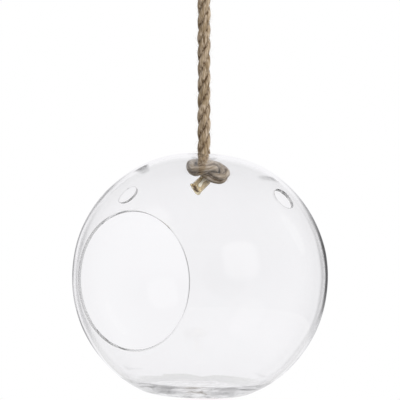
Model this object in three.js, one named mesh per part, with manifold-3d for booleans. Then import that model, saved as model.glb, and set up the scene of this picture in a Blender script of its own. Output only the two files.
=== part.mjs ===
// Hanging vase: a clear blown-glass globe with a round side opening, hung on a knotted jute rope.
// Millimetres, +Z up. The origin is where a hook bears on the inside of the rope's eye, and the
// vase's side opening faces -Y.

import * as THREE from "three";
import { mergeVertices } from "three/addons/utils/BufferGeometryUtils.js";
import Module from "manifold-3d";

const wasm = await Module();
wasm.setup();

// Glass globe
const globeDiameter = 200;
const poleFlattening = 3.6; // how much the blown globe falls short of a sphere at its two poles
const wallThickness = 2.4;
const baseDiameter = 76.6; // flat base, measured out to where the wall's outline meets it
const baseThickness = 7; // glass over the flat base
const baseEdgeRound = 4;
const floorBlend = 24; // how far the inner floor curves up into the wall
const lipBead = 0.6; // how much thicker a fire-polished rim is than the wall
const openingDiameter = 103; // clear width of the side opening
const openingDroop = 0.7; // degrees that the side opening looks below the globe's equator
const ventDiameter = 17.4; // clear width of an air hole
const ventLatitude = 40; // degrees above the equator
const ventTurn = 90; // degrees round the globe from the side opening
const ropeHoleDiameter = 19;
const hangingTilt = 3.1; // degrees that the globe leans back, away from its opening

// Rope
const ropeDiameter = 10;
const straightLength = 130; // from the neck of the eye to the globe's rope hole
const knotRopeDiameter = 7; // the same rope, squeezed in the tight knot
const knotTurn = 36.3; // degrees that the knot is turned on the rope
const knotUpperTurn = -4.2; // middle of the rope in the knot's upper turn, in the knot's own points
const knotNest = 0.3; // how far that turn sits up into the rounded mouth of the rope hole

// Eye at the rope's upper end
const eyeWidth = 34; // between the rope's centre lines
const eyeStraight = 30; // from the binding to where the eye's round top begins
const neckDrop = 18; // from the binding down to the neck's lower end
const twineDiameter = 2;
const bindingTurns = 9;
const twineSpace = 0.45; // least space between one turn and the next

// Clear tape round the rope's cut end
const tapeThickness = 0.7;
const tapeLength = 9;
const tapeOverhang = 1.6; // how far the tape stands past the rope's end
const tapeFlare = 1.1; // how much its free edge opens out

const clearance = 0.3; // between pieces that touch

// Sizes that follow
const globeRadius = globeDiameter / 2;
const innerRadius = globeRadius - wallThickness;
const middleRadius = globeRadius - wallThickness / 2;
const lipRadius = (wallThickness + lipBead) / 2;
const ropeRadius = ropeDiameter / 2;
const knotRopeRadius = knotRopeDiameter / 2;
const twineRadius = twineDiameter / 2;
const eyeRadius = eyeWidth / 2;
const eyeTopRoundHeight = ropeRadius - eyeRadius; // centre of the eye's round top
const bindingTop = eyeTopRoundHeight - eyeStraight;
const twinePitch = twineDiameter + twineSpace;
const bindingHeight = bindingTurns * twinePitch + twineDiameter;
const bindingBottom = bindingTop - bindingHeight;
const neckBottom = bindingBottom - neckDrop;
const holeRimHeight = neckBottom - straightLength;
const strandSide = ropeRadius + clearance / 2; // each of the two bound strands from the middle

const rad = THREE.MathUtils.degToRad;
const vec = (x, y, z) => new THREE.Vector3(x, y, z);

const glassMaterial = new THREE.MeshStandardMaterial({ color: 0xe6ebec, roughness: 0.04, metalness: 0 });
glassMaterial.transparent = true;
glassMaterial.opacity = 0.3;
const juteMaterial = new THREE.MeshStandardMaterial({ color: 0x9f8e7a, roughness: 0.95, metalness: 0 });
const twineMaterial = new THREE.MeshStandardMaterial({ color: 0xa98f68, roughness: 0.95, metalness: 0 });
const tapeMaterial = new THREE.MeshStandardMaterial({ color: 0xd9d4c2, roughness: 0.15, metalness: 0 });

// Shared vertices are merged, and the triangles that a lathe collapses on its axis are dropped.
function weld(geometry) {
  const bare = geometry.clone();
  bare.deleteAttribute("normal");
  bare.deleteAttribute("uv");
  const merged = mergeVertices(bare, 1e-4);
  const corners = Array.from(merged.index.array);
  const kept = [];
  for (let i = 0; i < corners.length; i += 3) {
    const [a, b, c] = corners.slice(i, i + 3);
    if (a !== b && b !== c && c !== a) kept.push(a, b, c);
  }
  merged.setIndex(kept);
  return merged;
}

function toSolid(geometry) {
  const closed = weld(geometry);
  return new wasm.Manifold(new wasm.Mesh({
    numProp: 3,
    vertProperties: Float32Array.from(closed.attributes.position.array),
    triVerts: Uint32Array.from(closed.index.array),
  }));
}

function toGeometry(solid) {
  const mesh = solid.getMesh();
  const geometry = new THREE.BufferGeometry();
  geometry.setAttribute("position", new THREE.BufferAttribute(Float32Array.from(mesh.vertProperties), 3));
  geometry.setIndex(Array.from(mesh.triVerts));
  geometry.computeVertexNormals();
  return geometry;
}

function piece(name, geometry, material) {
  const mesh = new THREE.Mesh(geometry, material);
  mesh.name = name;
  return mesh;
}

// A body of revolution about Z, from a profile of (distance from the axis, height) points that runs
// up its outside.
function turned(profile, segments) {
  const geometry = new THREE.LatheGeometry(profile, segments);
  geometry.rotateX(Math.PI / 2);
  return geometry;
}

// A ring of round section about Z.
function ring(radius, sectionRadius, segments, sides) {
  const profile = [];
  for (let i = 0; i <= sides; i++) {
    const turn = (2 * Math.PI * (i % sides)) / sides;
    profile.push(new THREE.Vector2(radius + sectionRadius * Math.cos(turn), sectionRadius * Math.sin(turn)));
  }
  return turned(profile, segments);
}

// A tube of round section along a curve, closed at both ends.
function tube(curve, radius, sides, steps) {
  const section = new THREE.Shape();
  for (let i = 0; i < sides; i++) {
    const turn = (2 * Math.PI * i) / sides;
    const x = radius * Math.cos(turn);
    const y = radius * Math.sin(turn);
    if (i === 0) section.moveTo(x, y);
    else section.lineTo(x, y);
  }
  section.closePath();
  return new THREE.ExtrudeGeometry(section, { steps, extrudePath: curve, bevelEnabled: false });
}

// Blown globe

// The globe's outline at an angle from its top: a circle drawn in a little at the poles.
function globeOutline(radius, angle) {
  const flattening = poleFlattening * (1 - Math.sin(angle)) ** 2 * Math.sign(Math.cos(angle));
  return new THREE.Vector2(radius * Math.sin(angle), radius * Math.cos(angle) - flattening);
}

// The angle from the top at which the outline passes a height.
function angleAtHeight(radius, height) {
  let above = 0;
  let below = Math.PI;
  for (let i = 0; i < 50; i++) {
    const middle = (above + below) / 2;
    if (globeOutline(radius, middle).y > height) above = middle;
    else below = middle;
  }
  return (above + below) / 2;
}

// The flat base is cut where the outline has come in to the base's diameter.
const baseAngle = Math.PI - Math.asin(baseDiameter / globeDiameter);
const baseDepth = -globeOutline(globeRadius, baseAngle).y;

// The flat base, the outer wall, the rope hole's edge, the inner wall and the thicker floor.
function globeShell() {
  const wallSteps = 14;
  const holeEdge = ropeHoleDiameter / 2 + lipRadius;
  const profile = [new THREE.Vector2(0, -baseDepth)];
  const outerTop = Math.asin(holeEdge / globeRadius);
  const outerStart = angleAtHeight(globeRadius, -baseDepth + baseEdgeRound / 2);
  const baseCorner = globeOutline(globeRadius, baseAngle);
  const baseFlat = new THREE.Vector2(baseCorner.x - baseEdgeRound, -baseDepth);
  const baseRound = new THREE.QuadraticBezierCurve(baseFlat, baseCorner, globeOutline(globeRadius, outerStart));
  profile.push(...baseRound.getPoints(3).slice(0, -1));
  for (let i = 0; i <= wallSteps; i++) {
    profile.push(globeOutline(globeRadius, outerStart + ((outerTop - outerStart) * i) / wallSteps));
  }
  const innerTop = Math.asin(holeEdge / innerRadius);
  const floorHeight = -baseDepth + baseThickness;
  const innerFloor = angleAtHeight(innerRadius, floorHeight);
  const innerEnd = angleAtHeight(innerRadius, floorHeight + floorBlend / 2);
  const floorCorner = globeOutline(innerRadius, innerFloor);
  const floorFlat = new THREE.Vector2(floorCorner.x - floorBlend, floorHeight);
  const floorRound = new THREE.QuadraticBezierCurve(globeOutline(innerRadius, innerEnd), floorCorner, floorFlat);
  for (let i = 0; i < wallSteps; i++) {
    profile.push(globeOutline(innerRadius, innerTop + ((innerEnd - innerTop) * i) / wallSteps));
  }
  profile.push(...floorRound.getPoints(5));
  profile.push(new THREE.Vector2(0, floorHeight));
  return toSolid(turned(profile, 60));
}

// A round hole through the wall, along a direction from the globe's centre, with a rounded rim.
function addRoundHole(glass, clearDiameter, latitude, turn, rimSegments) {
  const cutRadius = clearDiameter / 2 + lipRadius;
  const rimDistance = Math.sqrt(middleRadius ** 2 - cutRadius ** 2);
  const cutStart = rimDistance - 2 * lipRadius;
  const cutLength = globeRadius + 2 * lipRadius - cutStart;
  const cut = new THREE.CylinderGeometry(cutRadius, cutRadius, cutLength, rimSegments);
  cut.translate(0, cutStart + cutLength / 2, 0);
  const rim = ring(cutRadius, lipRadius, rimSegments, 10);
  rim.rotateX(-Math.PI / 2);
  rim.translate(0, rimDistance, 0);
  const outward = vec(
    Math.sin(rad(turn)) * Math.cos(rad(latitude)),
    -Math.cos(rad(turn)) * Math.cos(rad(latitude)),
    Math.sin(rad(latitude)),
  );
  const aim = new THREE.Quaternion().setFromUnitVectors(vec(0, 1, 0), outward);
  cut.applyQuaternion(aim);
  rim.applyQuaternion(aim);
  return glass.subtract(toSolid(cut)).add(toSolid(rim));
}

const ropeHoleRimRadius = ropeHoleDiameter / 2 + lipRadius;
const ropeHoleRimMiddle = globeOutline(middleRadius, Math.asin(ropeHoleRimRadius / middleRadius)).y;
const ropeHoleRim = ring(ropeHoleRimRadius, lipRadius, 30, 10);
ropeHoleRim.translate(0, 0, ropeHoleRimMiddle);
let glass = globeShell().add(toSolid(ropeHoleRim));
glass = addRoundHole(glass, openingDiameter, -openingDroop, 0, 60);
glass = addRoundHole(glass, ventDiameter, ventLatitude, ventTurn, 24);
glass = addRoundHole(glass, ventDiameter, ventLatitude, -ventTurn, 24);

const globe = new THREE.Group();
const globeMesh = piece("glass_globe", toGeometry(glass), glassMaterial);
globeMesh.position.z = -(ropeHoleRimMiddle + lipRadius);
globe.add(globeMesh);
globe.position.z = holeRimHeight;
globe.rotation.x = -rad(hangingTilt);

// Straight stretch of rope, from the neck to the top of the knot. Its upper end is a dome, on which
// the stretch swings under the neck.

const lipDip = (ropeHoleDiameter / 2) * Math.sin(rad(hangingTilt)); // of the lip, on its lower side
const knotTop = holeRimHeight - 2 * lipRadius - lipDip + knotNest;
const knotHeight = knotTop - knotUpperTurn - knotRopeRadius;
const knotStart = -1; // the knot's rope begins here, in the knot's own heights
const straightTop = neckBottom - clearance;
const straightBottom = knotHeight + knotStart + clearance;
const domeCentre = straightTop - ropeRadius;
const straightProfile = [new THREE.Vector2(0, straightBottom), new THREE.Vector2(ropeRadius, straightBottom)];
const domeSteps = 5;
for (let i = 0; i < domeSteps; i++) {
  const turn = (Math.PI / 2) * (i / domeSteps);
  straightProfile.push(new THREE.Vector2(ropeRadius * Math.cos(turn), domeCentre + ropeRadius * Math.sin(turn)));
}
straightProfile.push(new THREE.Vector2(0, straightTop));
const straightRope = piece("hanging_rope", weld(turned(straightProfile, 12)), juteMaterial);

// Overhand knot with its tail, in front of, behind and through its own loop. The points follow the
// middle of the rope from the standing part to the cut end; their heights start at the knot's top.

const knotPoints = [
  [0, 0, knotStart], [0, 0, -2.6], [-0.6, -1.3, -5.4], [-0.9, -2.6, -9.2], [-0.3, -3.2, -13],
  [3, -3.6, -16.6], [8.3, -2.9, -17.7], [13.4, -0.9, -16.4], [15.7, 2, -12.2], [13.9, 6, -8],
  [7.8, 8.9, -5.8], [0.8, 8.5, -4.5], [-5.2, 6.3, -4.2], [-9, 1.2, -4.8], [-9, -4.4, -7],
  [-5.2, -9.2, -9.2], [1.1, -11, -10], [6, -8.4, -10.3], [7.5, -2.4, -10.2], [7.2, 3.4, -11.4],
  [5, 7.3, -14.4], [1.6, 6.8, -17.4], [-1.6, 3.7, -20.5], [-4.4, 0.2, -23.5], [-7.4, -3.6, -26.5],
];
const knotCurve = new THREE.CatmullRomCurve3(knotPoints.map((p) => vec(...p)), false, "centripetal");
const knot = new THREE.Group();
knot.position.z = knotHeight;
knot.rotation.z = rad(knotTurn);
knot.add(piece("stop_knot", weld(tube(knotCurve, knotRopeRadius, 10, 64)), juteMaterial));

// The least gap between two stretches of one tube that aren't next to each other along it.
function leastSelfGap(curve, radius, count, apart) {
  const points = curve.getSpacedPoints(count);
  const skip = Math.ceil((apart * count) / curve.getLength());
  let least = Infinity;
  for (let i = 0; i <= count; i++) {
    for (let j = i + skip; j <= count; j++) {
      least = Math.min(least, points[i].distanceTo(points[j]) - 2 * radius);
    }
  }
  return least;
}
console.log("least gap of the knot to itself, mm:", leastSelfGap(knotCurve, knotRopeRadius, 300, 15).toFixed(2));

// Clear tape round the cut end, whose free edge stands out a little past the rope.

const tailEnd = vec(...knotPoints.at(-1));
const tailAlong = tailEnd.clone().sub(vec(...knotPoints.at(-2))).normalize();
const tapeInside = knotRopeRadius + clearance;
const tapeOutside = tapeInside + tapeThickness;
const tapeProfile = [
  [tapeInside, 0], [tapeOutside, 0], [tapeOutside, tapeLength], [tapeOutside + tapeFlare, tapeLength + tapeOverhang],
  [tapeInside + tapeFlare, tapeLength + tapeOverhang], [tapeInside, tapeLength], [tapeInside, 0],
];
const tapeShape = new THREE.LatheGeometry(tapeProfile.map(([x, y]) => new THREE.Vector2(x, y)), 20);
tapeShape.translate(0, -tapeLength, 0);
tapeShape.applyQuaternion(new THREE.Quaternion().setFromUnitVectors(vec(0, 1, 0), tailAlong));
tapeShape.translate(tailEnd.x, tailEnd.y, tailEnd.z);
knot.add(piece("tail_tape", weld(tapeShape), tapeMaterial));

// Eye: the rope bends out of line below the binding, goes up through it, round the eye and back down
// through the binding, where its end is cut off.

const eyeCurve = new THREE.CatmullRomCurve3([
  vec(0, 0, neckBottom),
  vec(0, 0, neckBottom + neckDrop * 0.25),
  vec(strandSide * 0.5, 0, neckBottom + neckDrop * 0.5),
  vec(strandSide * 0.97, 0, neckBottom + neckDrop * 0.8),
  vec(strandSide, 0, bindingBottom),
  vec(strandSide, 0, bindingBottom + bindingHeight * 0.5),
  vec(strandSide, 0, bindingTop),
  vec(strandSide + (eyeRadius - strandSide) * 0.5, 0, bindingTop + eyeStraight * 0.45),
  vec(eyeRadius * 0.98, 0, eyeTopRoundHeight - eyeStraight * 0.1),
  vec(eyeRadius * Math.SQRT1_2, 0, eyeTopRoundHeight + eyeRadius * Math.SQRT1_2),
  vec(0, 0, eyeTopRoundHeight + eyeRadius),
  vec(-eyeRadius * Math.SQRT1_2, 0, eyeTopRoundHeight + eyeRadius * Math.SQRT1_2),
  vec(-eyeRadius * 0.98, 0, eyeTopRoundHeight - eyeStraight * 0.1),
  vec(-strandSide - (eyeRadius - strandSide) * 0.5, 0, bindingTop + eyeStraight * 0.45),
  vec(-strandSide, 0, bindingTop),
  vec(-strandSide, 0, bindingBottom + bindingHeight * 0.5),
  vec(-strandSide, 0, bindingBottom),
  vec(-strandSide, 0, bindingBottom - neckDrop * 0.15),
], false, "centripetal");
const eyeRope = piece("hang_loop", weld(tube(eyeCurve, ropeRadius, 12, 52)), juteMaterial);

// Binding: one length of twine wound round the two strands, as a helix on their common oval.

class BindingCurve extends THREE.Curve {
  getPoint(t) {
    const side = strandSide;
    const round = ropeRadius + clearance + twineRadius;
    const lap = 4 * side + 2 * Math.PI * round;
    const along = ((t * bindingTurns) % 1) * lap;
    const height = bindingBottom + twineRadius + t * bindingTurns * twinePitch;
    const straight = 2 * side;
    const halfTurn = Math.PI * round;
    if (along < straight) return vec(-side + along, -round, height);
    if (along < straight + halfTurn) {
      const turn = (along - straight) / round;
      return vec(side + round * Math.sin(turn), -round * Math.cos(turn), height);
    }
    if (along < 2 * straight + halfTurn) return vec(side - (along - straight - halfTurn), round, height);
    const turn = (along - 2 * straight - halfTurn) / round;
    return vec(-side - round * Math.sin(turn), round * Math.cos(turn), height);
  }
}
const bindingCurve = new BindingCurve();
const binding = piece("loop_binding", weld(tube(bindingCurve, twineRadius, 6, bindingTurns * 24)), twineMaterial);
const bindingGap = leastSelfGap(bindingCurve, twineRadius, bindingTurns * 48, 3 * twineDiameter);
console.log("least gap of the binding to itself, mm:", bindingGap.toFixed(2));

const vase = new THREE.Group();
vase.add(eyeRope);
vase.add(binding);
vase.add(straightRope);
vase.add(knot);
vase.add(globe);

export default vase;
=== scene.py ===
"""Hanging vase: a clear blown-glass globe with a round side opening, hung on a knotted jute rope.

Metres, +Z up. The origin is where a hook bears on the inside of the rope's eye.
"""

import math
import random

import bmesh
import bpy
import numpy as np
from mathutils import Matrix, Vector, noise


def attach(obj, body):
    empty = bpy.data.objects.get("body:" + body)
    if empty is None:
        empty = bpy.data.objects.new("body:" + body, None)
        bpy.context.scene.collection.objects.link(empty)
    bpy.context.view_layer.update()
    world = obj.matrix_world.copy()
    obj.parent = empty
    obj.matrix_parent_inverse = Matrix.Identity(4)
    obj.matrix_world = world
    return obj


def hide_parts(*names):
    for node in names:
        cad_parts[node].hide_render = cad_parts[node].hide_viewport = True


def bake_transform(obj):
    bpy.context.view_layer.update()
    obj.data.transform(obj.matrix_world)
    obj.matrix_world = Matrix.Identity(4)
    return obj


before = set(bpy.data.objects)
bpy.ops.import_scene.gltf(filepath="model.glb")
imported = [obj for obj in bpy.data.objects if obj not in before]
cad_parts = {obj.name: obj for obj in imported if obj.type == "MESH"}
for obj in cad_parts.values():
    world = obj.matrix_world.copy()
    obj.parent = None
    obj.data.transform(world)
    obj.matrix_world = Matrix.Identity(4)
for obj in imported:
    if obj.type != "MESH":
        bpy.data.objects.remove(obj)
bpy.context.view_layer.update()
mm = 0.001
straight_up = Vector((0, 0, 1))


# Camera: 1.5 m from the globe, a little above it and to the right of the way its opening faces.
# The globe hangs low in the picture, and the rope leaves the picture at its top.

globe_centre = Vector((0, -5.237, -310.751)) * mm
camera_distance = 1.5
camera_turn = math.radians(36.28)
camera_rise = math.radians(5.18)
camera_pitch = math.radians(2.875)
to_camera = Vector((math.sin(camera_turn), -math.cos(camera_turn), 0))
to_right = Vector((math.cos(camera_turn), math.sin(camera_turn), 0))
camera_lens = bpy.data.cameras.new("camera")
camera_lens.lens = 172.6
camera_lens.sensor_width = 36
camera_lens.clip_start = 0.05
camera = bpy.data.objects.new("camera", camera_lens)
camera.location = globe_centre + camera_distance * math.cos(camera_rise) * to_camera
camera.location.z += camera_distance * math.sin(camera_rise)
camera.rotation_euler = (math.pi / 2 - camera_pitch, 0, camera_turn)
bpy.context.collection.objects.link(camera)
bpy.context.scene.camera = camera


# Rope: one length of 10 mm jute rope, three strands laid right-handed, each of many yarns. It runs from its
# cut end under the binding round the eye, straight down, and into an overhand knot whose tail points down
# and aside. It is two pieces here, split halfway down.

rope_radius = 5 * mm
knot_rope_radius = 4.25 * mm
tail_rope_radius = 4.5 * mm
rope_lay = 37 * mm  # one whole turn of a strand
rope_phase = 0.09
strand_offset = 0.47  # share of the rope's radius at which a strand's middle lies
strand_share = 0.56  # share of the rope's radius that a strand's own radius is
line_step = 0.5 * mm

# Sizes and points of the rope's path, in millimetres. The knot's points start at its own top, and are
# turned by knot_turn.

strand_side = 5.15
eye_radius = 17.0
eye_top = -12.0
binding_top = -42.0
binding_bottom = -66.05
neck_bottom = -84.05
knot_top = -216.564
knot_turn = math.radians(36.3)
eye_half = [
    (0, neck_bottom), (0, neck_bottom + 4.5), (strand_side * 0.5, neck_bottom + 9),
    (strand_side * 0.97, neck_bottom + 14.4), (strand_side, binding_bottom),
    (strand_side, binding_bottom + 12.025), (strand_side, binding_top),
    (strand_side + (eye_radius - strand_side) * 0.5, binding_top + 13.5), (eye_radius * 0.98, eye_top - 3),
    (eye_radius * 0.7071, eye_top + eye_radius * 0.7071), (0, eye_top + eye_radius),
]
eye_points = [(x, 0, z) for x, z in eye_half] + [(-x, 0, z) for x, z in eye_half[9:3:-1]]
eye_points.append((-strand_side, 0, binding_bottom - 2.7))
knot_points = [
    (0, 0, -1), (0, 0, -2.6), (-0.8, -1.2, -5.2), (-1.2, -2.2, -8.6), (0.2, -3, -12),
    (3.6, -3.4, -14.6), (8.4, -3.4, -16.4), (13.2, -2.2, -16.6), (16.2, 0.9, -14), (15.2, 5, -11.2),
    (12.7, 8.7, -8), (7.6, 9.8, -6), (0.8, 8.9, -4.5), (-5.2, 6.5, -4.2), (-9.1, 2.2, -5),
    (-9.4, -3.2, -8.4), (-6.8, -8.2, -10.6), (-1.2, -11.2, -9.4), (4.6, -9.8, -8), (8, -4, -7.8),
    (8.2, 1.6, -10.3), (5.8, 5.3, -13.6), (2.9, 5.8, -16.6), (-0.3, 4.4, -19.5), (-3.4, 2.7, -22.4),
    (-6.5, 1, -25.4),
]
knot_length = 129.62 * mm  # with its tail, measured along the curve through its points


def smooth_line(points, steps=40):
    """A centripetal curve through points, in metres."""
    p = np.array(points, float) * mm
    p = np.vstack([2 * p[0] - p[1], p, 2 * p[-1] - p[-2]])
    gap = np.sqrt(np.linalg.norm(np.diff(p, axis=0), axis=1))[:, None]
    found = []
    for i in range(1, len(p) - 2):
        before, here, after = gap[i - 1], gap[i], gap[i + 1]
        step = p[i + 1] - p[i]
        start = ((p[i] - p[i - 1]) / before - (p[i + 1] - p[i - 1]) / (before + here)) * here + step
        end = ((p[i + 2] - p[i + 1]) / after - (p[i + 2] - p[i]) / (here + after)) * here + step
        for t in np.arange(steps) / steps:
            rise = 3 * t * t - 2 * t**3
            found.append(p[i] + step * rise + start * (t - 2 * t * t + t**3) + end * (t**3 - t * t))
    found.append(p[-2])
    return np.array(found)


def even_line(line, step):
    """The same line with its points a step apart, and how far along it each lies."""
    reach = np.concatenate([[0], np.cumsum(np.linalg.norm(np.diff(line, axis=0), axis=1))])
    along = np.linspace(0, reach[-1], int(round(reach[-1] / step)) + 1)
    return np.stack([np.interp(along, reach, line[:, k]) for k in range(3)], axis=1), along


def untwisted_frames(line, side):
    """Directions along a line, and two across it that turn with it and don't twist."""
    tangent = np.gradient(line, axis=0)
    tangent /= np.linalg.norm(tangent, axis=1, keepdims=True)
    across = np.zeros_like(line)
    for i, t in enumerate(tangent):
        side = side - t * side.dot(t)
        side = side / np.linalg.norm(side)
        across[i] = side
    return tangent, across, np.cross(tangent, across)


def mesh_piece(name, points, faces):
    """A linked, smoothly shaded mesh object."""
    mesh = bpy.data.meshes.new(name)
    mesh.from_pydata([tuple(p) for p in points], [], faces)
    mesh.shade_smooth()
    piece = bpy.data.objects.new(name, mesh)
    bpy.context.collection.objects.link(piece)
    return piece


def carry(piece, name, kind, values):
    """Give each point of a piece a value or a vector, which its material reads by name."""
    field = "vector" if kind == "FLOAT_VECTOR" else "value"
    piece.data.attributes.new(name, kind, "POINT").data.foreach_set(field, np.ravel(values))


def strand_mesh(name, line, frames, radius, turn, along, painted_row_shading, strands, sides, yarns, seed):
    """Strands laid round a line, each with the ridges of its yarns, which run back against the lay.
    Each point carries its place along and across its yarns, its depth in the rope and its painted shading,
    which darkens it as painted shade, or lightens it as painted light where it is below 0."""
    tangent, across, third = frames
    clumping = 0.11 * mm / rope_radius  # uneven bundles of fibre, as a share of the radius
    end_bulge = 0.12  # how far a cut end bulges, as a share of the radius
    points, faces, fibre, depth, painted_point_shading = [], [], [], [], []
    for strand in range(strands):
        phase = turn + 2 * math.pi * strand / strands
        outward = across * np.cos(phase)[:, None] + third * np.sin(phase)[:, None]
        thick = np.array([noise.noise((a * 70, strand * 9.1 + seed, 0.3)) for a in along])
        centre = line + outward * (radius * (strand_offset + 0.03 * thick))[:, None]
        run = np.gradient(centre, axis=0)
        run /= np.linalg.norm(run, axis=1, keepdims=True)
        out = outward - run * np.sum(outward * run, axis=1)[:, None]
        out /= np.linalg.norm(out, axis=1, keepdims=True)
        over = np.cross(run, out)
        base = len(points)
        rows = len(line)
        for i in range(rows):
            for j in range(sides):
                spin = math.pi + 2 * math.pi * j / sides
                yarn = spin + 2 * turn[i]
                ridge = abs(math.cos(0.5 * yarns * yarn + 1.2 * thick[i]))
                strand_radius = radius[i] * (strand_share + 0.02 * thick[i]) * (0.93 + 0.07 * ridge)
                width = radius[i] * 0.54 * yarn
                clump = noise.noise((along[i] * 190, width * 900, strand * 3.7 + seed))
                clump += 0.8 * noise.noise((along[i] * 420, width * 1900, strand * 5.1 + seed))
                strand_radius += clumping * clump * radius[i]
                offset = out[i] * math.cos(spin) + over[i] * math.sin(spin)
                points.append(centre[i] + offset * strand_radius)
                fibre.append((along[i], width, strand * 0.05 + seed * 0.31))
                depth.append(np.linalg.norm(points[-1] - line[i]) / radius[i])
                painted_point_shading.append(painted_row_shading[i])
        for i in range(rows - 1):
            for j in range(sides):
                a = base + i * sides + j
                b = base + i * sides + (j + 1) % sides
                faces.append((a, b, b + sides, a + sides))
        for i, order in ((0, -1), (rows - 1, 1)):
            ring = [base + i * sides + j for j in range(sides)]
            points.append(centre[i] + tangent[i] * order * radius[i] * end_bulge)
            fibre.append((along[i], 0, strand * 0.05))
            # A cut end's tip counts as deep in the rope, so that it takes the painted groove shade.
            depth.append(0.7)
            painted_point_shading.append(painted_row_shading[i])
            tip = len(points) - 1
            for j in range(sides):
                pair = (ring[j], ring[(j + 1) % sides])
                faces.append((*pair[::order], tip))
    piece = mesh_piece(name, points, faces)
    carry(piece, "fibre", "FLOAT_VECTOR", fibre)
    carry(piece, "depth", "FLOAT", depth)
    carry(piece, "painted_shading", "FLOAT", painted_point_shading)
    return piece


def loose_fibres(name, line, frames, radius, count, longest, seed, tufts=()):
    """Fine hairs that stand off a rope, most of them lying nearly along it, some in tufts."""
    tangent, across, third = frames
    chance = random.Random(seed)
    tuft_hairs = 9
    hair_steps = 5
    hair_sides = 3
    rooted = 0.84  # share of the rope's radius at which a hair starts
    points, faces, fibre = [], [], []
    for hair_number in range(count):
        i = chance.randrange(3, len(line) - 3)
        spin = chance.uniform(0, 2 * math.pi)
        if hair_number < tuft_hairs * len(tufts):
            i, spin = tufts[hair_number % len(tufts)]
            i += chance.randrange(3)
            spin += chance.uniform(-0.15, 0.15)
        outward = across[i] * math.cos(spin) + third[i] * math.sin(spin)
        sideways = np.cross(tangent[i], outward)
        length = chance.uniform(0.3, 1) ** 2 * longest
        way = chance.choice((-1, 1))
        lean = chance.uniform(0.15, 0.75)
        drift = chance.uniform(-0.6, 0.6)
        curl = chance.uniform(-0.5, 0.5)
        start = line[i] + outward * radius[i] * rooted
        hair = chance.uniform(0.03, 0.06) * mm
        base = len(points)
        for k in range(hair_steps + 1):
            t = k / hair_steps
            spot = start + length * (
                tangent[i] * way * t * (1 - 0.2 * lean)
                + outward * lean * (t - curl * t * t)
                + sideways * drift * t * t
            )
            for j in range(hair_sides):
                turn = 2 * math.pi * j / hair_sides
                across_hair = outward * math.cos(turn) + sideways * math.sin(turn)
                points.append(spot + across_hair * hair * (1 - 0.6 * t))
                fibre.append((t * length + i, spin * 0.01, 0.4))
        for k in range(hair_steps):
            for j in range(hair_sides):
                a = base + k * hair_sides + j
                b = base + k * hair_sides + (j + 1) % hair_sides
                faces.append((a, b, b + hair_sides, a + hair_sides))
        tip = base + hair_steps * hair_sides
        faces.append((base + 2, base + 1, base))
        faces.append((tip, tip + 1, tip + 2))
    piece = mesh_piece(name, points, faces)
    carry(piece, "fibre", "FLOAT_VECTOR", fibre)
    carry(piece, "depth", "FLOAT", np.ones(len(points)))
    return piece


eye_line = smooth_line(eye_points)
knot_line = smooth_line(knot_points)
knot_line[:, 2] += knot_top * mm
knot_line[:, :2] = np.stack(
    [
        knot_line[:, 0] * math.cos(knot_turn) - knot_line[:, 1] * math.sin(knot_turn),
        knot_line[:, 0] * math.sin(knot_turn) + knot_line[:, 1] * math.cos(knot_turn),
    ],
    axis=1,
)
rope_line, rope_along = even_line(np.vstack([eye_line[::-1], knot_line]), line_step)
rope_frames = untwisted_frames(rope_line, np.array([0.0, 1.0, 0.0]))
from_knot = rope_along - (rope_along[-1] - knot_length)
to_end = rope_along[-1] - rope_along

# The rope is squeezed thinner in the knot and swells again towards its tail. The knot also opens its lay.

rope_radii = np.interp(from_knot, [-1 * mm, 12 * mm], [rope_radius, knot_rope_radius])
tail_radii = np.interp(to_end, [8 * mm, 20 * mm], [tail_rope_radius, knot_rope_radius + mm])
rope_radii = np.minimum(rope_radii, tail_radii)
opened = np.interp(from_knot, [4 * mm, 16 * mm], [1.0, 0.55])
rope_turn = rope_phase + np.cumsum(opened) * 2 * math.pi * (rope_along[1] - rope_along[0]) / rope_lay
rope_turn -= np.interp(0, from_knot, rope_turn) + 2 * math.pi * knot_length / rope_lay - rope_phase
rope_turn += 0.2 * np.array([noise.noise((a * 30, 2.5, 7.1)) for a in rope_along])

# Painted shade: the knot, hanging in the glass, is coloured greyer and darker, less on the turn that
# crosses its front and faces the light. Its tail, under tape, is coloured lighter as painted light, so its
# painted shading is below 0.

painted_shading_at = np.array([2, 9, 74, 80, 94, 100, 112, 120]) * mm
painted_shading = np.interp(from_knot, painted_shading_at, [0, 0.8, 1, 0.5, 0.5, 1, 0.6, -2.6])
split_height = -150 * mm  # where the rope is parted into its two pieces
middle = int(np.argmin(np.abs(rope_line[:, 2] - split_height) + np.abs(rope_line[:, 0])))


def stretch(first, last):
    """The part of the rope's line, frames and radii between two rows."""
    rows = slice(first, last)
    frames = tuple(f[rows] for f in rope_frames)
    return rope_line[rows], frames, rope_radii[rows], rope_turn[rows], rope_along[rows], painted_shading[rows]


upper_rows = stretch(0, middle + 1)
lower_rows = stretch(middle, len(rope_line))
laid = {"strands": 3, "sides": 40, "yarns": 8, "seed": 1}
upper_rope = strand_mesh("upper_rope", *upper_rows, **laid)
lower_rope = strand_mesh("lower_rope", *lower_rows, **laid)
upper_fibres = loose_fibres("upper_rope_fibres", *upper_rows[:3], count=2000, longest=7 * mm, seed=5)
tuft_height = -171.2 * mm
tuft_row = int(np.argmin(np.abs(rope_line[middle : middle + 130, 2] - tuft_height)))
tail_rows = 22  # rows at the end that the tape covers, where no hair starts
lower_fibres = loose_fibres(
    "lower_rope_fibres", *stretch(middle, len(rope_line) - tail_rows)[:3],
    count=1500, longest=6 * mm, seed=6, tufts=[(tuft_row, -2.2)],
)


def node(tree, kind, **values):
    """A shader node with some of its properties set."""
    made = tree.nodes.new(kind)
    for name, value in values.items():
        setattr(made, name, value)
    return made


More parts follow.
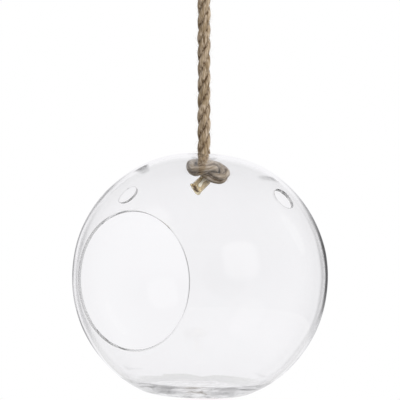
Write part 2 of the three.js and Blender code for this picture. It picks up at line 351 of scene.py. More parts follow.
def fibre_group():
    """Colour and height of plant fibre: long streaks of light and dark fibre, yarns of different shade,
    painted shade in the grooves as dark spots along them and a darkening deep in the rope, and the painted
    shading that each point carries. It reads the distances along and across the yarns that each mesh
    carries."""
    group = bpy.data.node_groups.new("plant_fibre", "ShaderNodeTree")
    for name in ("Light", "Middle", "Dark"):
        group.interface.new_socket(name, in_out="INPUT", socket_type="NodeSocketColor")
    group.interface.new_socket("Color", in_out="OUTPUT", socket_type="NodeSocketColor")
    group.interface.new_socket("Height", in_out="OUTPUT", socket_type="NodeSocketFloat")
    inside = node(group, "NodeGroupInput")
    outside = node(group, "NodeGroupOutput")
    where = node(group, "ShaderNodeAttribute", attribute_name="fibre")
    split = node(group, "ShaderNodeSeparateXYZ")
    link = group.links.new
    link(where.outputs["Vector"], split.inputs[0])

    def scaled(value, factor):
        times = node(group, "ShaderNodeMath", operation="MULTIPLY")
        link(value, times.inputs[0])
        if isinstance(factor, float):
            times.inputs[1].default_value = factor
        else:
            link(factor, times.inputs[1])
        return times.outputs[0]

    def grain(length, fineness, detail=2.0):
        joined = node(group, "ShaderNodeCombineXYZ")
        link(scaled(split.outputs["X"], length), joined.inputs[0])
        link(scaled(split.outputs["Y"], fineness), joined.inputs[1])
        link(scaled(split.outputs["Z"], 40.0), joined.inputs[2])
        found = node(group, "ShaderNodeTexNoise")
        found.inputs["Scale"].default_value = 1.0
        found.inputs["Detail"].default_value = detail
        link(joined.outputs[0], found.inputs["Vector"])
        return found.outputs["Fac"]

    streaks = grain(230.0, 980.0, detail=3.0)
    yarns = grain(160.0, 620.0)
    pits = grain(330.0, 520.0)
    patches = grain(55.0, 90.0)

    def ramp(value, low, high):
        spread = node(group, "ShaderNodeMapRange")
        spread.inputs["From Min"].default_value = low
        spread.inputs["From Max"].default_value = high
        link(value, spread.inputs["Value"])
        return spread.outputs["Result"]

    def mix(factor, a, b):
        blended = node(group, "ShaderNodeMix", data_type="RGBA")
        link(factor, blended.inputs["Factor"])
        link(a, blended.inputs["A"])
        link(b, blended.inputs["B"])
        return blended.outputs["Result"]

    lighter = mix(ramp(streaks, 0.43, 0.6), inside.outputs["Middle"], inside.outputs["Light"])
    shaded = mix(scaled(ramp(yarns, 0.52, 0.36), 0.6), lighter, inside.outputs["Dark"])
    bleached = mix(scaled(ramp(patches, 0.5, 0.7), 0.3), shaded, inside.outputs["Light"])
    # Painted shade: points deep in the rope, in its grooves, get dark spots, and the deepest are darkened
    # further.
    sunk = node(group, "ShaderNodeAttribute", attribute_name="depth")
    in_groove = ramp(sunk.outputs["Fac"], 0.98, 0.8)
    painted_pit_shade = scaled(ramp(pits, 0.58, 0.4), in_groove)
    pit_shaded = mix(scaled(painted_pit_shade, 0.9), bleached, inside.outputs["Dark"])
    painted_groove_shade = scaled(ramp(sunk.outputs["Fac"], 0.75, 0.55), 0.6)
    plain = mix(painted_groove_shade, pit_shaded, inside.outputs["Dark"])
    # Painted shade and light: the colour is multiplied towards a grey tint by each point's painted shading,
    # and lightened where that is below 0.
    painted_shading_tint = node(group, "ShaderNodeMix", data_type="RGBA", blend_type="MULTIPLY", clamp_factor=False)
    painted_shading_tint.inputs["B"].default_value = (0.79, 0.84, 0.95, 1)
    painted_shading_share = node(group, "ShaderNodeAttribute", attribute_name="painted_shading")
    link(painted_shading_share.outputs["Fac"], painted_shading_tint.inputs["Factor"])
    link(plain, painted_shading_tint.inputs["A"])
    link(painted_shading_tint.outputs["Result"], outside.inputs["Color"])
    total = node(group, "ShaderNodeMath", operation="MULTIPLY_ADD")
    link(yarns, total.inputs[0])
    total.inputs[1].default_value = 0.6
    link(streaks, total.inputs[2])
    link(total.outputs[0], outside.inputs["Height"])
    return group


plant_fibre = fibre_group()


def fibre_material(name, light, middle_colour, dark, bump):
    """A matt, hairy plant fibre."""
    material = bpy.data.materials.new(name)
    material.use_nodes = True
    tree = material.node_tree
    shader = tree.nodes["Principled BSDF"]
    shader.inputs["Roughness"].default_value = 0.82
    shader.inputs["Specular IOR Level"].default_value = 0.25
    shader.inputs["Sheen Weight"].default_value = 0.15
    shader.inputs["Sheen Roughness"].default_value = 0.5
    fibre = node(tree, "ShaderNodeGroup")
    fibre.node_tree = plant_fibre
    fibre.inputs["Light"].default_value = (*light, 1)
    fibre.inputs["Middle"].default_value = (*middle_colour, 1)
    fibre.inputs["Dark"].default_value = (*dark, 1)
    relief = node(tree, "ShaderNodeBump")
    relief.inputs["Strength"].default_value = bump
    relief.inputs["Distance"].default_value = 0.3 * mm
    tree.links.new(fibre.outputs["Color"], shader.inputs["Base Color"])
    tree.links.new(fibre.outputs["Height"], relief.inputs["Height"])
    tree.links.new(relief.outputs["Normal"], shader.inputs["Normal"])
    return material


jute = fibre_material("jute", (0.63, 0.51, 0.375), (0.33, 0.24, 0.14), (0.095, 0.052, 0.018), 0.8)
for piece in (upper_rope, lower_rope, upper_fibres, lower_fibres):
    piece.data.materials.append(jute)
for piece in (upper_rope, upper_fibres):
    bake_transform(piece)
for piece in (lower_rope, lower_fibres):
    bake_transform(piece)
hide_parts("hang_loop", "hanging_rope")
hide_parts("stop_knot")


# Binding: nine turns of two-ply jute twine round the neck of the eye.

twine_radius = 1 * mm
laid_twine_radius = 1.08 * mm
twine_lay = 7 * mm
binding_turns = 9
binding_pitch = 2.45 * mm
binding_side = strand_side * mm
binding_round = 6.3 * mm
binding_lap = 4 * binding_side + 2 * math.pi * binding_round


def binding_spot(t):
    """Where the twine's middle is after a share t of its turns."""
    distance = (t * binding_turns % 1) * binding_lap
    height = binding_bottom * mm + twine_radius + t * binding_turns * binding_pitch
    straight = 2 * binding_side
    half = math.pi * binding_round
    if distance < straight:
        return (distance - binding_side, -binding_round, height)
    if distance < straight + half:
        turn = (distance - straight) / binding_round
        return (binding_side + binding_round * math.sin(turn), -binding_round * math.cos(turn), height)
    if distance < 2 * straight + half:
        return (binding_side - (distance - straight - half), binding_round, height)
    turn = (distance - 2 * straight - half) / binding_round
    return (-binding_side - binding_round * math.sin(turn), binding_round * math.cos(turn), height)


binding_steps = np.linspace(0, 1 - 1e-9, 1200)
twine_line, twine_along = even_line(np.array([binding_spot(t) for t in binding_steps]), 0.45 * mm)
twine_frames = untwisted_frames(twine_line, np.array([0.0, 0.0, 1.0]))
twine_radii = np.full(len(twine_line), laid_twine_radius)
twine_turn = 2 * math.pi * twine_along / twine_lay
twine_rows = (twine_line, twine_frames, twine_radii, twine_turn, twine_along, np.zeros(len(twine_line)))
binding = strand_mesh("twine_binding", *twine_rows, strands=2, sides=14, yarns=3, seed=4)
twine = fibre_material("twine", (0.62, 0.5, 0.33), (0.4, 0.29, 0.17), (0.14, 0.09, 0.045), 0.7)
binding.data.materials.append(twine)
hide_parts("loop_binding")
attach(binding, "hanger")


# Tail tape: clear, yellowish adhesive tape, 12 mm wide, round the rope's cut end so that it can't fray.
# Its edge stands out past the rope, flared and crumpled. Its free end is a strip along the tail's front,
# turned towards the camera and coloured pale cream as a painted highlight.

tail_end = Vector(rope_line[-1])
tail_way = (tail_end - Vector(rope_line[-16])).normalized()
tape_inside = 4.62 * mm
tape_thick = 0.2 * mm
tape_side = tail_way.orthogonal().normalized()
tape_across = tail_way.cross(tape_side)
tape_rows = [-11.5, -11.2, -10, -8.7, -7.5, -6, -4.5, -3, -2, -1.2, -0.6, -0.1, 0.3, 0.5]
tape_columns = 72
flare_start = -2.0
flare_rows = 2.5
free_end_way = to_camera - tail_way * to_camera.dot(tail_way)
free_end_way = (free_end_way.normalized() + Vector((0, 0, 0.1))).normalized()
free_end_across = tail_way.cross(free_end_way).normalized()
free_end_rows = 33
free_end_columns = 7
free_end_start = -11.3 * mm  # from the rope's end
free_end_length = 10.3 * mm
free_end_lift = 0.42 * mm


def tape_spot(row, column, thickness):
    """A point on the tape, from its row along the rope and its column round it."""
    spin = 2 * math.pi * column / tape_columns
    height = tape_rows[row] * mm
    open_edge = max(0.0, (tape_rows[row] - flare_start) / flare_rows)
    flare = (0.4 + 0.8 * math.sin(2 * spin + 0.6) + 0.3 * math.sin(5 * spin)) * open_edge**1.5 * mm
    crease = 0.09 * mm * noise.noise((math.cos(spin) * 2, math.sin(spin) * 2, height * 500))
    lapped = 0.12 * mm * (column % tape_columns) / tape_columns
    radius = tape_inside + flare + crease + lapped + thickness
    ragged = 0.25 * mm * math.sin(3 * spin + 1) * open_edge
    offset = tape_side * math.cos(spin) + tape_across * math.sin(spin)
    return tail_end + tail_way * (height + ragged) + offset * radius


def free_end_spot(row, column, thickness):
    """A point on the tape's free end, a narrow, wavy strip that lies along the tail's front."""
    share = row / (free_end_rows - 1)
    half_width = (0.221 + 0.065 * math.sin(9 * share)) * min(1.0, 6 * share + 0.2, 6 * (1 - share) + 0.2)
    spin = half_width * (2 * column / (free_end_columns - 1) - 1) + 0.078 * math.sin(5 * share)
    lift = free_end_lift + (0.3 * share**2 + 0.05 * math.sin(23 * share)) * mm
    spot = tail_end + tail_way * (free_end_start + free_end_length * share)
    offset = free_end_way * math.cos(spin) + free_end_across * math.sin(spin)
    return spot + offset * (tape_inside + lift + thickness)


def closed_sheet(name, spot, rows, columns, wraps):
    """A thin sheet of tape: an outer and an inner layer of a grid, closed along their edges."""
    grid = [(row, column) for row in range(rows) for column in range(columns)]
    points = [spot(row, column, tape_thick) for row, column in grid]
    points += [spot(row, column, 0.0) for row, column in grid]
    inner = len(grid)
    faces = []
    for column in range(columns if wraps else columns - 1):
        after = (column + 1) % columns
        for row in range(rows - 1):
            a = row * columns + column
            b = row * columns + after
            faces.append((a, b, b + columns, a + columns))
            faces.append((b + inner, a + inner, a + inner + columns, b + inner + columns))
        last = (rows - 1) * columns
        faces.append((column, column + inner, after + inner, after))
        faces.append((after + last, after + last + inner, column + last + inner, column + last))
    if not wraps:
        for row in range(rows - 1):
            a = row * columns
            b = a + columns - 1
            faces.append((a, a + columns, a + columns + inner, a + inner))
            faces.append((b + inner, b + columns + inner, b + columns, b))
    return mesh_piece(name, points, faces)


tape = closed_sheet("clear_tape_wrap", tape_spot, len(tape_rows), tape_columns, True)
clear_tape = bpy.data.materials.new("clear_tape")
clear_tape.use_nodes = True
tree = clear_tape.node_tree
shader = tree.nodes["Principled BSDF"]
shader.inputs["Base Color"].default_value = (0.98, 0.88, 0.64, 1)
shader.inputs["Roughness"].default_value = 0.12
shader.inputs["IOR"].default_value = 1.45
shader.inputs["Transmission Weight"].default_value = 0.7
crumple = node(tree, "ShaderNodeTexNoise")
crumple.inputs["Scale"].default_value = 900
crumple_relief = node(tree, "ShaderNodeBump")
crumple_relief.inputs["Strength"].default_value = 0.25
crumple_relief.inputs["Distance"].default_value = 0.2 * mm
tree.links.new(crumple.outputs["Fac"], crumple_relief.inputs["Height"])
tree.links.new(crumple_relief.outputs["Normal"], shader.inputs["Normal"])
tape.data.materials.append(clear_tape)
tape.visible_shadow = False
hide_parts("tail_tape")
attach(tape, "knot")

# Painted highlight: the free end's pale cream colour stands for a highlight along the tail.
painted_highlight_strip = closed_sheet("tape_end_painted_highlight", free_end_spot, free_end_rows, free_end_columns, False)
tape_painted_highlight = bpy.data.materials.new("tape_painted_highlight")
tape_painted_highlight.use_nodes = True
shader = tape_painted_highlight.node_tree.nodes["Principled BSDF"]
shader.inputs["Base Color"].default_value = (0.97, 0.92, 0.76, 1)
shader.inputs["Roughness"].default_value = 0.2
shader.inputs["Coat Weight"].default_value = 0.6
painted_highlight_strip.data.materials.append(tape_painted_highlight)
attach(painted_highlight_strip, "knot")


# Globe: clear glass blown into a 2.2 mm wall, with a flat base of thicker glass, uneven on the inside.
# Its round opening, its two air holes and its rope hole were cut and then fire-polished to round lips.

globe_radius = 100 * mm
wall = 2.2 * mm
lip = 1.15 * mm  # half its thickness
lip_reach = 2.2 * mm  # from the middle of a lip out to the plain wall
wall_middle = globe_radius - wall / 2
pole_flattening = 3.6 * mm
opening_droop = math.radians(0.7)
air_hole_rise = math.radians(40)
opening_ring = 51.5 * mm + lip
air_ring = 8.7 * mm + lip
rope_hole_ring = 9.5 * mm + lip
base_corner = math.pi - math.asin(0.383)
base_round = 4 * mm
base_thickness = 5.6 * mm
floor_blend = 14 * mm
floor_unevenness = 0.8 * mm
wall_unevenness = 0.25 * mm
globe_tilt = math.radians(-3.1)
columns = 340
wall_rings = 136
shared_end = math.radians(134)  # from the top to where the wall's grid ends and the turned base begins


def outline(radius, angle):
    """Distance from the globe's axis and height above its centre, at an angle from its top."""
    drawn_in = pole_flattening * (1 - np.sin(angle)) ** 2 * np.sign(np.cos(angle))
    return radius * np.sin(angle), radius * np.cos(angle) - drawn_in


def on_outline(direction, radius):
    """The spot on the wall that a direction from the globe's centre points at."""
    angle = math.acos(max(-1.0, min(1.0, direction.z)))
    out, height = outline(radius, angle)
    flat = Vector((direction.x, direction.y, 0)).normalized()
    return Vector((flat.x * out, flat.y * out, height))


def angle_at(radius, height):
    """The angle from the top at which the outline passes a height."""
    angles = np.linspace(0.3, math.pi - 0.01, 20000)
    return float(angles[np.argmin(np.abs(outline(radius, angles)[1] - height))])


def cone(ring):
    """The angle at which the plain wall begins, round a hole whose lip's middle has this radius."""
    return math.asin(ring / wall_middle) + lip_reach / wall_middle


# The wall above the base: a grid of directions from the globe's centre, cut by a plane at each hole.

opening_way = Vector((0, -math.cos(opening_droop), -math.sin(opening_droop)))
air_ways = [Vector((side * math.cos(air_hole_rise), 0, math.sin(air_hole_rise))) for side in (1, -1)]
holes = [(opening_way, opening_ring), (air_ways[0], air_ring), (air_ways[1], air_ring)]

shell = bmesh.new()
ring_angles = np.linspace(cone(rope_hole_ring), shared_end, wall_rings)
grid = []
for angle in ring_angles:
    row = []
    for column in range(columns):
        turn = 2 * math.pi * column / columns
        spot = (math.sin(angle) * math.cos(turn), math.sin(angle) * math.sin(turn), math.cos(angle))
        row.append(shell.verts.new(spot))
    grid.append(row)
for low, high in zip(grid[1:], grid[:-1]):
    for column in range(columns):
        after = (column + 1) % columns
        shell.faces.new((low[column], low[after], high[after], high[column]))
for way, ring in holes:
    everything = shell.verts[:] + shell.edges[:] + shell.faces[:]
    bmesh.ops.bisect_plane(
        shell, geom=everything, dist=1e-6,
        plane_co=way * math.cos(cone(ring)), plane_no=way, clear_outer=True,
    )
for spot in shell.verts:
    flat_spot = spot.co.copy()
    spot.co.normalize()
    for way, ring in holes:
        if abs(flat_spot.dot(way) - math.cos(cone(ring))) < 1e-5:
            off_way = (flat_spot - way * flat_spot.dot(way)).normalized()
            spot.co = way * math.cos(cone(ring)) + off_way * math.sin(cone(ring))
bmesh.ops.triangulate(shell, faces=[face for face in shell.faces if len(face.verts) > 4])
shell.verts.index_update()
directions = [spot.co.copy() for spot in shell.verts]
wall_faces = [tuple(spot.index for spot in face.verts) for face in shell.faces]
shell.free()

count = len(directions)
glass_points = [on_outline(way, globe_radius) for way in directions]
glass_points += [on_outline(way, globe_radius - wall) for way in directions]
glass_faces = list(wall_faces)
glass_faces += [tuple(count + i for i in reversed(face)) for face in wall_faces]

# A lip's profile, as distances towards its hole and outwards from the wall's middle. It swells from the
# plain wall and goes round the bead.

lip_swell = [(1.6 * mm, wall / 2), (0.8 * mm, wall / 2 + 0.02 * mm)]
lip_profile = [(-back, out) for back, out in lip_swell]
lip_profile += [(lip * math.cos(a), lip * math.sin(a)) for a in np.radians(range(96, -97, -12))]
lip_profile += [(-back, -out) for back, out in reversed(lip_swell)]


def join_rows(rows):
    """Closed bands of faces between successive rings of points."""
    for one, two in zip(rows[:-1], rows[1:]):
        for i in range(len(one)):
            after = (i + 1) % len(one)
            glass_faces.append((one[i], one[after], two[after], two[i]))


def add_row(spots):
    """Points added to the glass, and their numbers."""
    first = len(glass_points)
    glass_points.extend(spots)
    return list(range(first, len(glass_points)))


def loop_round(way, angle):
    """The wall's edge round a hole, in order."""
    side = way.orthogonal().normalized()
    other = way.cross(side)
    found = [i for i, d in enumerate(directions) if abs(d.angle(way) - angle) < 1e-4]
    return sorted(found, key=lambda i: math.atan2(directions[i].dot(other), directions[i].dot(side)))


for way, ring in [*holes, (straight_up, rope_hole_ring)]:
    edge = loop_round(way, cone(ring))
    ring_angle = math.asin(ring / wall_middle)
    rows = [edge]
    for inwards, out in lip_profile:
        spots = []
        for i in edge:
            off_way = (directions[i] - way * directions[i].dot(way)).normalized()
            radial = way * math.cos(ring_angle) + off_way * math.sin(ring_angle)
            to_hole = (way - radial * radial.dot(way)).normalized()
            spots.append(on_outline(radial, wall_middle) + to_hole * inwards + radial * out)
        rows.append(add_row(spots))
    rows.append([count + i for i in edge])
    join_rows(rows)


def turned_row(out, height, uneven=0.0):
    """A ring of points about the globe's axis, uneven in height by so much."""
    turns = [2 * math.pi * column / columns for column in range(columns)]
    spots = [Vector((out * math.cos(t), out * math.sin(t), height)) for t in turns]
    for spot in spots:
        spot.z += uneven * (noise.noise(spot * 55) + 0.4 * noise.noise(spot * 130))
    return add_row(spots)


def corner_curve(start, middle_spot, end, steps):
    """A rounded corner between two spots of a profile."""
    found = []
    for t in np.linspace(0, 1, steps):
        a, b, c = (1 - t) ** 2, 2 * t * (1 - t), t * t
        found.append(tuple(a * start[k] + b * middle_spot[k] + c * end[k] for k in (0, 1)))
    return found


# The base, turned outside and inside from the wall's lower edge, whose points are taken in the order of
# the turned rings.

base_height = float(outline(globe_radius, base_corner)[1])
floor_height = base_height + base_thickness
lower_loop = sorted(
    loop_round(straight_up, shared_end),
    key=lambda i: math.atan2(directions[i].y, directions[i].x) % (2 * math.pi - 1e-6),
)

outer_start = angle_at(globe_radius, base_height + base_round / 2)
corner_out = float(outline(globe_radius, base_corner)[0])
outer_profile = [outline(globe_radius, a) for a in np.linspace(shared_end, outer_start, 26)[1:]]
base_rim = (corner_out, base_height)
base_edge = (corner_out - base_round, base_height)
outer_profile += corner_curve(outline(globe_radius, outer_start), base_rim, base_edge, steps=8)[1:]
outer_profile += [(out * mm, base_height) for out in (33.6, 31, 27, 22, 16, 10, 5)]

inner_radius = globe_radius - wall
inner_end = angle_at(inner_radius, floor_height + floor_blend / 2)
inner_corner = float(outline(inner_radius, angle_at(inner_radius, floor_height))[0])
inner_profile = [outline(inner_radius, a) for a in np.linspace(shared_end, inner_end, 6)[1:]]
floor_corner = (inner_corner, floor_height)
floor_edge = (inner_corner - floor_blend, floor_height)
inner_profile += corner_curve(outline(inner_radius, inner_end), floor_corner, floor_edge, steps=20)[1:]
inner_profile += [(out * mm, floor_height) for out in range(24, 1, -2)]

for profile, first_row, tip, uneven in (
    (outer_profile, lower_loop, base_height, 0.0),
    (inner_profile, [count + i for i in lower_loop], floor_height, floor_unevenness),
):
    rows = [first_row]
    for out, height in profile:
        share = max(0.0, min(1.0, (50 * mm - out) / (12 * mm)))  # whole up to 38 mm out, none from 50 mm
        rows.append(turned_row(out, height, uneven * share))
    join_rows(rows)
    centre = add_row([Vector((0, 0, tip))])[0]
    for i in range(columns):
        glass_faces.append((rows[-1][i], rows[-1][(i + 1) % columns], centre))

# Blown glass is never quite even, so the whole wall above the base wanders a little in and out. The globe
# then leans back from its opening, as it hangs.

glass = mesh_piece("blown_globe", glass_points, glass_faces)
blown = bmesh.new()
blown.from_mesh(glass.data)
bmesh.ops.recalc_face_normals(blown, faces=blown.faces)
for spot in blown.verts:
    above_base = max(0.0, min(1.0, (spot.co.z - base_height) / (25 * mm)))
    sway = noise.noise(spot.co * 22) + 0.5 * noise.noise(spot.co * 45 + Vector((3, 1, 7)))
    spot.co += spot.co.normalized() * sway * wall_unevenness * above_base
blown.to_mesh(glass.data)
blown.free()
lean_cos, lean_sin = math.cos(globe_tilt), math.sin(globe_tilt)
lean = np.array([[1, 0, 0], [0, lean_cos, -lean_sin], [0, lean_sin, lean_cos]])
glass_co = np.zeros(len(glass.data.vertices) * 3)
glass.data.vertices.foreach_get("co", glass_co)
glass_co = glass_co.reshape(-1, 3) @ lean.T + np.array(globe_centre)
glass.data.vertices.foreach_set("co", glass_co.ravel())
glass.data.update()

clear_glass = bpy.data.materials.new("clear_glass")
clear_glass.use_nodes = True
tree = clear_glass.node_tree
shader = tree.nodes["Principled BSDF"]
shader.inputs["Roughness"].default_value = 0.0
shader.inputs["IOR"].default_value = 1.5
shader.inputs["Transmission Weight"].default_value = 1.0
# Painted shade: the glass is tinted slightly darker where it is seen at a grazing angle, which darkens its
# edges.
slant = node(tree, "ShaderNodeLayerWeight")
slant.inputs["Blend"].default_value = 0.5
painted_edge_shade = node(tree, "ShaderNodeValToRGB")
painted_edge_shade.color_ramp.elements[0].position = 0.7
painted_edge_shade.color_ramp.elements[0].color = (1, 1, 1, 1)
painted_edge_shade.color_ramp.elements[1].position = 1.0
painted_edge_shade.color_ramp.elements[1].color = (0.94, 0.94, 0.94, 1)
tree.links.new(slant.outputs["Facing"], painted_edge_shade.inputs["Fac"])
tree.links.new(painted_edge_shade.outputs["Color"], shader.inputs["Base Color"])
swirl = node(tree, "ShaderNodeTexNoise")
swirl.inputs["Scale"].default_value = 28
swirl.inputs["Detail"].default_value = 1.0
place = node(tree, "ShaderNodeTexCoord")
tree.links.new(place.outputs["Object"], swirl.inputs["Vector"])
ripple = node(tree, "ShaderNodeBump")
ripple.inputs["Strength"].default_value = 0.1
ripple.inputs["Distance"].default_value = 1 * mm
tree.links.new(swirl.outputs["Fac"], ripple.inputs["Height"])
tree.links.new(ripple.outputs["Normal"], shader.inputs["Normal"])
soaked_up = node(tree, "ShaderNodeVolumeAbsorption")
soaked_up.inputs["Color"].default_value = (0.0, 0.03, 0.02, 1)
soaked_up.inputs["Density"].default_value = 0.1
tree.links.new(soaked_up.outputs["Volume"], tree.nodes["Material Output"].inputs["Volume"])
glass.data.materials.append(clear_glass)
glass.visible_shadow = False
glass.visible_diffuse = False
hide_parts("glass_globe")
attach(glass, "globe")


# Studio: soft boxes and a key light round the vase, a white backdrop behind it with grey sides and darker
# cards, and a pale floor well below. The camera itself sees plain white. The cards draw dark lines
# in the glass.

box_distance = 2.0
box_edge_start = 0.25  # sum of the cubes of x and y, 1 at an edge's middle, from which a box fades


def soft_box(name, right, rise, width, height, brightness):
    """A panel of light with soft edges, facing the globe from degrees right of the camera and above it."""
    turn, lift = math.radians(right), math.radians(rise)
    level = math.sin(turn) * to_right + math.cos(turn) * to_camera
    way = math.cos(lift) * level + Vector((0, 0, math.sin(lift)))
    aim = way.to_track_quat("Z", "Y").to_matrix()
    middle_spot = globe_centre + way * box_distance
    corners = [(-1.0, -1.0, 0.0), (1.0, -1.0, 0.0), (1.0, 1.0, 0.0), (-1.0, 1.0, 0.0)]
    spots = [middle_spot + aim @ Vector((x * width / 2, y * height / 2, 0)) for x, y, _ in corners]
    panel = mesh_piece(name, spots, [(0, 3, 2, 1)])
    carry(panel, "across", "FLOAT_VECTOR", corners)
    material = bpy.data.materials.new(name)
    material.use_nodes = True
    tree = material.node_tree
    tree.nodes.remove(tree.nodes["Principled BSDF"])
    spot = node(tree, "ShaderNodeAttribute", attribute_name="across")
    split = node(tree, "ShaderNodeSeparateXYZ")
    tree.links.new(spot.outputs["Vector"], split.inputs[0])
    powers = []
    for axis in ("X", "Y"):
        power = node(tree, "ShaderNodeMath", operation="POWER")
        size = node(tree, "ShaderNodeMath", operation="ABSOLUTE")
        tree.links.new(split.outputs[axis], size.inputs[0])
        tree.links.new(size.outputs[0], power.inputs[0])
        power.inputs[1].default_value = 3.0
        powers.append(power)
    total = node(tree, "ShaderNodeMath", operation="ADD")
    tree.links.new(powers[0].outputs[0], total.inputs[0])
    tree.links.new(powers[1].outputs[0], total.inputs[1])
    soft_edge = node(tree, "ShaderNodeMapRange", interpolation_type="SMOOTHSTEP")
    soft_edge.inputs["From Min"].default_value = box_edge_start
    soft_edge.inputs["From Max"].default_value = 1.0
    soft_edge.inputs["To Min"].default_value = 1.0
    soft_edge.inputs["To Max"].default_value = 0.0
    tree.links.new(total.outputs[0], soft_edge.inputs["Value"])
    glow = node(tree, "ShaderNodeEmission")
    glow.inputs["Strength"].default_value = brightness
    clear = node(tree, "ShaderNodeBsdfTransparent")
    both = node(tree, "ShaderNodeMixShader")
    tree.links.new(soft_edge.outputs["Result"], both.inputs["Fac"])
    tree.links.new(clear.outputs["BSDF"], both.inputs[1])
    tree.links.new(glow.outputs["Emission"], both.inputs[2])
    tree.links.new(both.outputs["Shader"], tree.nodes["Material Output"].inputs["Surface"])
    panel.data.materials.append(material)
    panel.visible_camera = False
    panel.visible_shadow = False


soft_box("front_right_box", right=38, rise=18, width=1.3, height=1.3, brightness=0.75)
soft_box("front_left_box", right=-62, rise=40, width=1.3, height=1.6, brightness=0.65)
soft_box("rear_right_box", right=108, rise=24, width=0.5, height=1.1, brightness=0.85)

# Key light: from the front, the right and above. It lights the rope and isn't mirrored in the glass.

key = bpy.data.lights.new("key", "AREA")
key.size = 1.2
key.energy = 21
key_lamp = bpy.data.objects.new("key", key)
key_way = (0.65 * to_right + 0.7 * to_camera + Vector((0, 0, 0.5))).normalized()
key_distance = 2.2
key_lamp.location = globe_centre + key_way * key_distance
key_lamp.rotation_euler = key_way.to_track_quat("Z", "Y").to_euler()
key_lamp.visible_camera = False
key_lamp.visible_glossy = False
key_lamp.visible_transmission = False
bpy.context.collection.objects.link(key_lamp)

# Surround: a level of light for each way a ray can go, from soft masks of how far right, ahead and up.

world = bpy.data.worlds.new("surround")
bpy.context.scene.world = world
world.use_nodes = True
tree = world.node_tree
link = tree.links.new
looking = node(tree, "ShaderNodeTexCoord")


def toward(direction):
    """How much a ray goes in a direction."""
    dot = node(tree, "ShaderNodeVectorMath", operation="DOT_PRODUCT")
    dot.inputs[1].default_value = direction
    link(looking.outputs["Generated"], dot.inputs[0])
    return dot.outputs["Value"]


def fade(value, start, end):
    """A soft step from 0 at start to 1 at end."""
    step = node(tree, "ShaderNodeMapRange", interpolation_type="SMOOTHSTEP")
    link(value, step.inputs["Value"])
    low, high = min(start, end), max(start, end)
    step.inputs["From Min"].default_value = low
    step.inputs["From Max"].default_value = high
    step.inputs["To Min"].default_value = 0.0 if start < end else 1.0
    step.inputs["To Max"].default_value = 1.0 if start < end else 0.0
    return step.outputs["Result"]


def product(*values):
    """The product of several values."""
    found = values[0]
    for value in values[1:]:
        times = node(tree, "ShaderNodeMath", operation="MULTIPLY")
        link(found, times.inputs[0])
        link(value, times.inputs[1])
        found = times.outputs[0]
    return found


def between(factor, low, high):
    """A level from low to high, where each is a number or a value."""
    blended = node(tree, "ShaderNodeMix", data_type="FLOAT")
    link(factor, blended.inputs["Factor"])
    for name, value in (("A", low), ("B", high)):
        if isinstance(value, float):
            blended.inputs[name].default_value = value
        else:
            link(value, blended.inputs[name])
    return blended.outputs["Result"]


# The masks. The two gaps are dark, slanting slits above the cards, which draw thinner lines.

right = toward(to_right)
ahead = toward(-to_camera)
up = toward(straight_up)
right_slant = toward(to_right - straight_up * 0.22)
left_slant = toward(to_right + straight_up * 0.43)
behind = fade(ahead, 0.2, 0.5)
backdrop = fade(ahead, 0.8, 0.9)
front = product(fade(ahead, 0.3, -0.6), fade(up, -0.25, 0.3))
overhead = fade(up, 0.55, 0.98)
right_card = product(
    behind, fade(right, 0.15, 0.25), fade(right, 0.5, 0.42), fade(up, 0.24, 0.0), fade(up, -0.34, -0.1)
)
left_card = product(
    behind, fade(right, -0.15, -0.22), fade(right, -0.36, -0.3), fade(up, 0.26, 0.16), fade(up, -0.3, -0.2)
)
right_gap = product(
    behind, fade(right_slant, 0.22, 0.24), fade(right_slant, 0.3, 0.26),
    fade(up, 0.32, 0.38), fade(up, 0.66, 0.58),
)
left_gap = product(
    behind, fade(left_slant, -0.11, -0.08), fade(left_slant, -0.03, -0.055),
    fade(up, 0.24, 0.3), fade(up, 0.62, 0.55),
)

# The levels, each laid over those before it. A ray that has come through glass sees the sides and the
# front lighter, a ray that lights the rope sees no cards, and the camera's rays see white.

light_path = node(tree, "ShaderNodeLightPath")
camera_ray = light_path.outputs["Is Camera Ray"]
diffuse_ray = light_path.outputs["Is Diffuse Ray"]
seen_through = light_path.outputs["Is Transmission Ray"]
front_level = between(seen_through, 0.1, 0.4)
lit_level = between(fade(right, 0.1, -0.6), 0.95, 0.55)
surround_level = between(seen_through, 0.58, 0.76)
for mask, level in (
    (front, front_level),
    (overhead, front_level),
    (backdrop, 0.97),
    (right_card, 0.12),
    (left_card, 0.35),
    (right_gap, 0.05),
    (left_gap, 0.1),
    (diffuse_ray, lit_level),
    (camera_ray, 1.0),
):
    surround_level = between(mask, surround_level, level)
surround_tint = node(tree, "ShaderNodeMix", data_type="RGBA")
surround_tint.inputs["A"].default_value = (0.985, 0.98, 1, 1)
surround_tint.inputs["B"].default_value = (1, 1, 1, 1)
link(camera_ray, surround_tint.inputs["Factor"])
background = tree.nodes["Background"]
link(surround_tint.outputs["Result"], background.inputs["Color"])
link(surround_level, background.inputs["Strength"])

# The floor is pale and matt below the vase and turns into an even glow towards its rim, white to the
# camera. Rays that light the rope find it darker, so that the rope isn't lit from below.

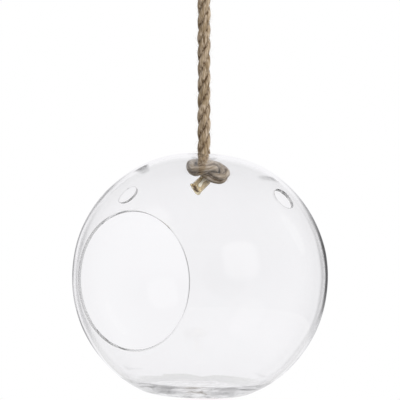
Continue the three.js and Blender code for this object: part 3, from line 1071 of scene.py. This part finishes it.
floor_radius = 2.6
floor_level = globe_centre.z - 1.0
floor_sides = 96
floor_turns = [2 * math.pi * i / floor_sides for i in range(floor_sides)]
floor_points = [(0, 0, floor_level)]
floor_points += [(floor_radius * math.cos(t), floor_radius * math.sin(t), floor_level) for t in floor_turns]
floor_faces = [(0, 1 + i, 1 + (i + 1) % floor_sides) for i in range(floor_sides)]
floor = mesh_piece("floor", floor_points, floor_faces)
pale = bpy.data.materials.new("pale_floor")
pale.use_nodes = True
tree = pale.node_tree
link = tree.links.new
shader = tree.nodes["Principled BSDF"]
shader.inputs["Roughness"].default_value = 0.9
floor_path = node(tree, "ShaderNodeLightPath")
floor_tone = node(tree, "ShaderNodeMix", data_type="RGBA")
floor_tone.inputs["A"].default_value = (0.86, 0.86, 0.86, 1)
floor_tone.inputs["B"].default_value = (0.2, 0.2, 0.2, 1)
link(floor_path.outputs["Is Diffuse Ray"], floor_tone.inputs["Factor"])
link(floor_tone.outputs["Result"], shader.inputs["Base Color"])
floor_white = node(tree, "ShaderNodeMapRange")
floor_white.inputs["To Min"].default_value = 0.8
link(floor_path.outputs["Is Camera Ray"], floor_white.inputs["Value"])
floor_dimmed = node(tree, "ShaderNodeMath", operation="MULTIPLY_ADD")
floor_dimmed.inputs[1].default_value = -0.35
link(floor_path.outputs["Is Diffuse Ray"], floor_dimmed.inputs[0])
link(floor_white.outputs["Result"], floor_dimmed.inputs[2])
glowing = node(tree, "ShaderNodeEmission")
link(floor_dimmed.outputs[0], glowing.inputs["Strength"])
floor_place = node(tree, "ShaderNodeTexCoord")
level_place = node(tree, "ShaderNodeVectorMath", operation="MULTIPLY")
level_place.inputs[1].default_value = (1, 1, 0)
link(floor_place.outputs["Object"], level_place.inputs[0])
floor_reach = node(tree, "ShaderNodeVectorMath", operation="LENGTH")
link(level_place.outputs["Vector"], floor_reach.inputs[0])
glow_share = node(tree, "ShaderNodeMapRange")
glow_share.inputs["From Min"].default_value = 1.2
glow_share.inputs["From Max"].default_value = 2.5
link(floor_reach.outputs["Value"], glow_share.inputs["Value"])
floor_look = node(tree, "ShaderNodeMixShader")
link(glow_share.outputs["Result"], floor_look.inputs["Fac"])
link(shader.outputs["BSDF"], floor_look.inputs[1])
link(glowing.outputs["Emission"], floor_look.inputs[2])
link(floor_look.outputs["Shader"], tree.nodes["Material Output"].inputs["Surface"])
floor.data.materials.append(pale)

# Light may be thrown back many times inside the base and the lips before it leaves the glass.

bpy.context.scene.view_settings.view_transform = "Standard"
cycles = bpy.context.scene.cycles
bounces = 300
cycles.max_bounces = bounces
cycles.transmission_bounces = bounces
cycles.glossy_bounces = bounces
